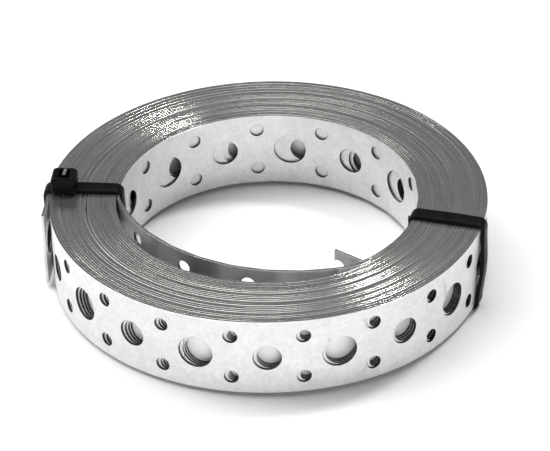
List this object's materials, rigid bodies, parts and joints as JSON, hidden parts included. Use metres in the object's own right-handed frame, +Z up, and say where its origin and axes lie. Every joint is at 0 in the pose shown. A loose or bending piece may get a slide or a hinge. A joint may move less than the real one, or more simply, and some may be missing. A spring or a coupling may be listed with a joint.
{
  "type": "coil of perforated metal mounting strap",
  "caption": "Flat coil of perforated galvanised steel strap with centre holes and paired small holes, a bent inner end, a free outer end and black cable ties.",
  "frame": {"origin": "on the axis of the coil's eye, at the level of the floor under the ties", "axes": "+Z up along the coil's axis; -Y towards the loose first turn's side, which faces the viewer; +X towards the tie whose head is in the eye"},
  "size_m": [0.1409, 0.1392, 0.0344],
  "materials": {
    "galvanised_steel": "galvanised, satin, with darker sheared edges",
    "black_nylon": "soft sheen"
  },
  "bodies": {
    "root": {"strap_coil": "galvanised_steel", "cable_tie_left": "black_nylon", "cable_tie_right": "black_nylon"}
  },
  "joints": []
}
